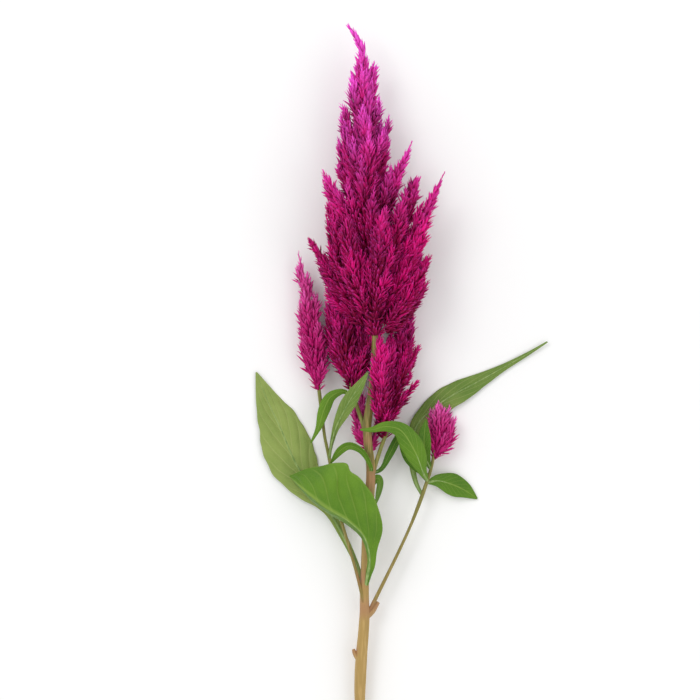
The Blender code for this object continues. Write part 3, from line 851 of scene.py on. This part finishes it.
def read_path(path, shares):
    """The points of an evenly spaced path at some shares of its length, and straight on past its end."""
    steps = np.linspace(0, 1, len(path))
    inside = np.column_stack([np.interp(shares, steps, path[:, axis]) for axis in range(path.shape[1])])
    past = np.maximum(shares - 1, 0)[:, None] * (path[-1] - path[-2]) * (len(path) - 1)
    return inside + past


# %% [markdown]
# A flame is four points: its foot sits inside the spike and its tip near the spike's surface, further up.
# The three rows below say how far along, how far out and how far astray each of those four points is.

# %% Where the flames sit
# The gap to the next flame, in millimetres, is the first number plus the second over the spike's radius.
FLAME_GAP, THIN_GAP = 3.375, 16.5
THIN_SPIKE = 1.5
FLAME_LENGTH, LENGTH_PER_RADIUS = 10, 1.9
FLAME_WIDTH, WIDTH_PER_LENGTH = 0.5, 0.075
FLAMES_FROM, FLAMES_TO = 0.04, 0.82
FLAME_ALONG = np.array([0, 0.3, 0.65, 1.0])
FLAME_OUT = np.array([0, 0.38, 0.75, 1.0])
FLAME_ASTRAY = np.array([0, 0.5, 0.8, 1.0])
FLAME_FOOT = 0.4
WILD = 0.045


def flames_on(points, radius_at, drawn):
    """The flames of one spike as (points, widest radius)."""
    path = smooth_path(points, 40)
    length = length_of(path)
    _, across, up = frames_on(path)
    flames = []
    place, count = FLAMES_FROM, drawn.integers(9)
    while place < FLAMES_TO:
        here = np.array([place])
        radius = float(radius_at(here)[0])
        long = (FLAME_LENGTH + LENGTH_PER_RADIUS * radius) * drawn.uniform(0.7, 1.25)
        angle = count * GOLDEN_ANGLE + drawn.uniform(-0.5, 0.5)
        radius_ahead = float(radius_at(np.minimum(1.0, here + 0.6 * long / length))[0])
        tip = radius_ahead * drawn.uniform(0.8, 1.2) + drawn.uniform(0.1, 0.28) * min(radius, 10)
        out = FLAME_FOOT * radius + (tip - FLAME_FOOT * radius) * FLAME_OUT
        radial = math.cos(angle) * read_path(across, here) + math.sin(angle) * read_path(up, here)
        astray = drawn.uniform(-1, 1, (4, 3)) * (WILD * long * FLAME_ASTRAY)[:, None]
        line = read_path(path, place + FLAME_ALONG * long / length) + radial * out[:, None] + astray
        flames.append((line, (FLAME_WIDTH + WIDTH_PER_LENGTH * long) * drawn.uniform(0.8, 1.3)))
        place += (FLAME_GAP + THIN_GAP / max(radius, THIN_SPIKE)) / length
        count += 1
    return flames


# %% [markdown]
# A scale is a few numbers: where it sits, which way it points, which side faces out, how long and wide it
# is, and two that its colour needs. The scales are shared out so that the wide parts of a spike get more of
# them. They stand off at its foot and lie close at its tip.

# %% Where the scales sit
SCALE_LENGTH = 7.2
SCALE_COVER, FLAME_COVER = 6.0, 4.5
FEWEST_SCALES = 8
SCALE_SEAT = 0.55
TILT_PLACES, TILTS = [0, 0.06, 0.7, 1], [46, 22, 13, 2]
UNRULY = 10
SHORT_SCALE, SCALE_PER_RADIUS = 2.6, 2.6


def scales_on(points, radius_at, drawn, cover, dull, bright):
    """The scales that wrap one flame or spike: feet, directions, outsides, lengths, widths, painted glow
    levels, chances.

    cover is the square millimetres of surface for each scale. dull and bright are the painted glow at foot
    and tip.
    """
    path = smooth_path(points, 14)
    ahead, across, up = frames_on(path)
    steps = np.linspace(0, 1, 60)
    crowd = np.cumsum(radius_at(steps) + 0.5)
    count = max(FEWEST_SCALES, int(2 * math.pi * crowd[-1] / len(steps) * length_of(path) / cover))
    share = np.interp(np.linspace(0, crowd[-1], count), crowd, steps)
    share = np.clip(share + drawn.normal(0, 0.02, count), 0, 1)
    angle = np.arange(count) * GOLDEN_ANGLE + drawn.uniform(0, 6.28) + drawn.normal(0, 0.45, count)
    middle, forward, sideways, upward = [read_path(a, share) for a in (path, ahead, across, up)]
    out = np.cos(angle)[:, None] * sideways + np.sin(angle)[:, None] * upward
    unruly = drawn.normal(0, UNRULY, count) * np.interp(share, [0.6, 1], [1, 0.3])
    tilt = np.radians(np.interp(share, TILT_PLACES, TILTS) + unruly)
    aim = unit(forward * np.cos(tilt)[:, None] + out * np.sin(tilt)[:, None])
    radius = radius_at(share)
    long = SCALE_LENGTH * drawn.uniform(0.6, 1.4, count) * np.interp(share, [0, 0.5, 1], [0.9, 1.0, 0.8])
    long = np.minimum(long, SHORT_SCALE + SCALE_PER_RADIUS * radius)
    wide = long * drawn.uniform(0.09, 0.23, count)
    # Painted glow level: it rises along the flame or spike towards its tip.
    painted_glow_level = dull + (bright - dull) * share ** 1.5
    chance = drawn.uniform(0, 0.55) + drawn.uniform(0, 0.45, count)
    return middle + out * (SCALE_SEAT * radius)[:, None], aim, out, long, wide, painted_glow_level, chance


def gather(groups):
    """Several sets of scales as one."""
    return [np.concatenate(parts) for parts in zip(*groups)]


# %% [markdown]
# The scales of a plume become one mesh. Each copy of the scale is turned so that its height follows the
# direction and its keel faces out. The lowest florets would reach through the table: they are pressed flat
# above it instead, as the real ones are by the plume's weight.

# %% Build the mesh of a plume
PRESS_HEIGHT = 2.2
LOWEST = 0.15
KEEL = 0.55
BEND = 0.10


def pressed(places):
    """Places with whatever reaches under the press height flattened above the table."""
    room = PRESS_HEIGHT - LOWEST
    under = np.minimum(places[..., 2] - PRESS_HEIGHT, 0)
    places[..., 2] = np.where(under < 0, LOWEST + room * np.exp(under / room), places[..., 2])
    return places


def scale_places(at, aim, out, long, wide):
    """The points of every scale, each a turned and stretched copy of the one that was modelled."""
    across, outward, rise = [SCALE_POINTS[:, axis][None, :, None] for axis in range(3)]
    at, aim, out = at[:, None], aim[:, None], out[:, None]
    long, wide = long[:, None, None], wide[:, None, None]
    side = unit(np.cross(aim, out))
    keel = np.cross(side, aim)
    bend = keel * (outward * wide * KEEL + BEND * rise ** 2 * long)
    return at + side * across * wide + bend + aim * rise * long


def mesh_of_scales(name, scales, finish):
    """One object that holds every scale of a plume."""
    *placing, on_spike, chance = scales
    places = in_metres(pressed(scale_places(*placing)).reshape(-1, 3))
    count, per = len(chance), len(SCALE_POINTS)
    corners = np.array([v for face in SCALE_FACES for v in face])
    loops = (corners[None, :] + np.arange(count)[:, None] * per).ravel()
    sizes = np.tile([len(face) for face in SCALE_FACES], count)
    mesh = bpy.data.meshes.new(name)
    mesh.vertices.add(count * per)
    mesh.vertices.foreach_set("co", places.ravel())
    mesh.loops.add(len(loops))
    mesh.loops.foreach_set("vertex_index", loops)
    mesh.polygons.add(len(sizes))
    mesh.polygons.foreach_set("loop_start", np.append(0, np.cumsum(sizes)[:-1]))
    mesh.update(calc_edges=True)
    mesh.validate()
    made = bpy.data.objects.new(name, mesh)
    bpy.context.scene.collection.objects.link(made)
    mark(made, "on_scale", np.tile(SCALE_POINTS[:, 2], count))
    # on_spike holds each scale's painted glow level.
    mark(made, "on_spike", np.repeat(on_spike, per))
    mark(made, "chance", np.repeat(chance, per))
    mesh.materials.append(finish)
    return made


# %% [markdown]
# Under the florets runs the fleshy axis of each spike. It shows only between the flames, so a plain tapering
# tube does, at about half the spike's width. It has the plumes' finish, kept at the deep end as painted shade
# in those gaps.

# %% The axes inside a plume
AXIS_SHARE = 0.5
AXIS_RINGS, AXIS_SIDES = 14, 8
THINNEST_AXIS = 0.25
AXIS_SHADE_TONE = 0.4


def axis_tube(points, radius_at, finish):
    """The fleshy axis of one spike."""
    path = smooth_path(points, AXIS_RINGS + 1)
    tube, along, _, step, outward = rolled_sheet("axis", path, AXIS_SIDES)
    radius = np.maximum(radius_at(along) * AXIS_SHARE, THINNEST_AXIS)
    carry(tube, pressed(path[step] + outward * radius[:, None]))
    # The axis takes the deep end of the finish, AXIS_SHADE_TONE on the scale and no chance, as painted shade
    # between the flames.
    mark(tube, "on_scale", np.full(len(along), AXIS_SHADE_TONE))
    mark(tube, "on_spike", along)
    mark(tube, "chance", np.zeros(len(along)))
    close_tube(tube)
    tube.data.materials.append(finish)
    return tube


def mark_height(plume, foot, tip):
    """Marks each point by how far up the plume it is, from 0 at the foot to 1 at the tip."""
    places = np.zeros(len(plume.data.vertices) * 3)
    plume.data.vertices.foreach_get("co", places)
    heights = (places[1::3] - RULER_START[1]) / MM
    mark(plume, "on_plume", np.clip((heights - foot) / (tip - foot), 0, 1))


def grow_plume(name, spikes, finish, seed, reach=None):
    """A plume from its spikes, each a path, a radius at any share of its length, and an extra painted glow.

    reach is the height of the plume's foot and tip, where its spikes are only a part of it.
    """
    drawn = np.random.default_rng(seed)
    groups, flames = [], 0
    for points, radius_at, painted_glow in spikes:
        # The spike's painted glow lifts the painted glow of its scales and of its flames' scales.
        groups.append(scales_on(points, radius_at, drawn, SCALE_COVER, painted_glow, 0.8 + painted_glow))
        for flame, widest in flames_on(points, radius_at, drawn):
            groups.append(scales_on(flame, taper(widest), drawn, FLAME_COVER, 0.25 + painted_glow, 1.0 + painted_glow))
            flames += 1
    scales = gather(groups)
    florets = mesh_of_scales(name, scales, finish)
    axes = [axis_tube(points, radius_at, finish) for points, radius_at, _ in spikes]
    print(name, len(scales[0]), "scales on", flames, "flames of", len(spikes), "spikes")
    plume = join([florets, *axes], name)
    heights = [place[1] for points, *_ in spikes for place in points]
    mark_height(plume, *(reach or (min(heights), max(heights))))
    return plume


# %% [markdown]
# ## The main plume
#
# The tallest plume has a central column that runs out into a thin curved leader, with long spikes round its
# foot and shorter ones up its sides. The spikes that catch the eye in front and at the edges are placed by
# measure.

# %% Main plume
COLUMN = [(10, 298, 28), (8, 334, 28.5), (5, 373, 28.5), (3.5, 419, 28), (3.1, 445, 27.5), (3.2, 464, 27),
          (3.0, 478, 26.5), (0.2, 488, 25.5), (-6, 497, 24)]
COLUMN_RADII = [4, 13, 14.3, 12.8, 11.5, 8.4, 3.6, 0.9]
MAIN_REACH = (300, 490)
# A spike's third number, where given, is extra painted glow: a painted highlight on front spikes, which face
# the lamps.
FRONT_SPIKES = [
    ([(16, 322, 30), (33, 358, 34), (54, 402, 34)], 5.2, 1.4),
    ([(12, 360, 28), (21, 392, 30), (33, 422, 30)], 4.2, 0.2),
    ([(18, 340, 28), (28, 370, 30), (38.5, 399, 30)], 4, 0.1),
    ([(2, 350, 30), (-9, 374, 31), (-23.5, 402, 32)], 5.4, 0.2),
    ([(1, 312, 26), (-17, 336, 28), (-33, 360, 29)], 4.6, 0.2),
    ([(9, 308, 36), (12, 345, 46), (16, 379, 50)], 7, 0.15),
    ([(4, 312, 38), (-5, 345, 44), (-9, 372, 46)], 7),
    ([(17, 303, 34), (32, 324, 35), (44, 349, 35)], 6),
    ([(2, 392, 27), (-6, 411, 27), (-11, 433, 27)], 4.5),
    ([(6, 392, 27), (12.5, 412, 28), (16.5, 434, 28)], 4.5),
    ([(4, 384, 33), (5, 412, 37), (5, 438, 38)], 5.5, 0.1),
    ([(16, 338, 36), (24, 366, 42), (28, 389, 44)], 5.5, 0.1),
    ([(0, 322, 30), (-13, 346, 33), (-19, 374, 33)], 6.5),
    ([(17, 316, 32), (31, 340, 35), (39, 368, 34)], 6.5, 0.1),
]
BACK_SPIKES = [
    ([(16, 336, 22), (26, 366, 20), (35, 396, 20)], 5.2),
    ([(0, 336, 23), (-12, 362, 21), (-20.5, 386, 20)], 6),
    ([(17, 300, 22), (30, 314, 20), (40, 327, 19)], 6),
    ([(2, 305, 21), (-13, 324, 20), (-25, 348, 20)], 6.6),
    ([(10, 305, 16), (12, 338, 8), (12, 376, 9)], 7.5),
    ([(5, 306, 15), (-4, 336, 9), (-10, 367, 9)], 7),
    ([(15, 306, 15), (24, 336, 9), (27, 367, 9)], 7),
    ([(4, 384, 22), (3, 412, 19), (2, 438, 19)], 5),
    ([(2, 376, 24), (-8, 400, 24), (-14, 426, 24)], 4.5),
    ([(1, 410, 26), (-6, 428, 26), (-11, 444, 26)], 3.3),
    ([(8, 400, 25), (14, 417, 25), (18, 433, 25)], 3.2),
    ([(18, 310, 24), (29, 334, 22), (39, 356, 22)], 5.5),
]
column_spike = (COLUMN, lambda share: smooth_values(COLUMN_RADII, share), 0.0)
main_plume_parts = {"column": [column_spike], "front_spikes": plain_spikes(FRONT_SPIKES),
                    "back_spikes": plain_spikes(BACK_SPIKES)}
for seed, (part, spikes) in enumerate(main_plume_parts.items(), 101):
    declare(grow_plume("main_plume_" + part, spikes, PLUME_FINISH, seed, MAIN_REACH), "main_plume")

# %% [markdown]
# ## The smaller plumes
#
# The two lower plumes are magenta like the main one, and their colour and painted glow follow the height of
# the whole flower. The plumes of the side shoots and the tufts against the stem are younger and pinker, each
# with a foot and tip of its own. All of them grow by the same steps.

# %% The lower plumes, side plumes and tufts
# A third number on a spike is extra painted glow, a painted highlight as on the main plume's front spikes.
MAGENTA_PLUMES = {
    "left_lower_plume": [([(-5, 263, 17), (-10, 290, 12), (-13, 328, 6)], 9),
                         ([(-7, 268, 14), (-15, 290, 12), (-19, 318, 9)], 6),
                         ([(-4, 266, 13), (2, 286, 11), (3, 310, 8)], 6.5),
                         ([(-5, 264, 17), (-1, 272, 19), (4, 288, 20)], 3.5)],
    "right_lower_plume": [([(15.5, 231, 18), (16, 262, 18), (21, 300, 12)], 9, 0.3),
                          ([(18, 250, 19), (27, 268, 22), (37.5, 289, 23)], 3.4),
                          ([(16, 240, 18), (24, 252, 21), (36, 266, 22)], 2.6),
                          ([(20, 258, 12), (28, 286, 10), (33, 322, 9)], 7.5, 0.3),
                          ([(15, 240, 25), (12.5, 268, 31), (13, 298, 28)], 6, 0.3)],
}
PINK_PLUMES = {
    "left_side_plume": [([(-27, 262, 10), (-31, 298, 11), (-40, 351, 11)], 6),
                        ([(-28, 266, 10), (-34, 282, 10), (-37, 302, 10)], 3.5),
                        ([(-28, 266, 9), (-25, 282, 6), (-26, 300, 5)], 4),
                        ([(-28, 268, 6), (-32, 290, 4.2), (-35, 312, 4.2)], 5)],
    "right_side_plume": [([(49, 217, 9), (52, 232, 9.5), (53, 252, 10)], 4.5),
                         ([(49, 218, 9), (57, 228, 9), (61, 241, 9)], 3.5),
                         ([(50, 220, 7), (48, 232, 5), (47, 242, 4)], 3.5),
                         ([(51, 221, 6), (56, 234, 3.6), (58, 246, 3.4)], 4)],
    "left_stem_tuft": [([(4, 224, 20.5), (-1, 240, 14), (-4, 253, 11)], 3.2),
                       ([(4, 224, 20.5), (2, 243, 13.5), (1, 256, 11)], 3)],
    "right_stem_tuft": [([(6, 222, 20), (9, 229, 14), (11, 238, 11)], 2.6)],
}
LOWER_REACH = (180, 500)
for seed, (node, rows) in enumerate(MAGENTA_PLUMES.items(), 120):
    plume = grow_plume("feathery_" + node, plain_spikes(rows), PLUME_FINISH, seed, LOWER_REACH)
    declare(plume, node)
for seed, (node, rows) in enumerate(PINK_PLUMES.items(), 120 + len(MAGENTA_PLUMES)):
    plume = grow_plume("feathery_" + node, plain_spikes(rows), PINK_FINISH, seed)
    declare(plume, node)
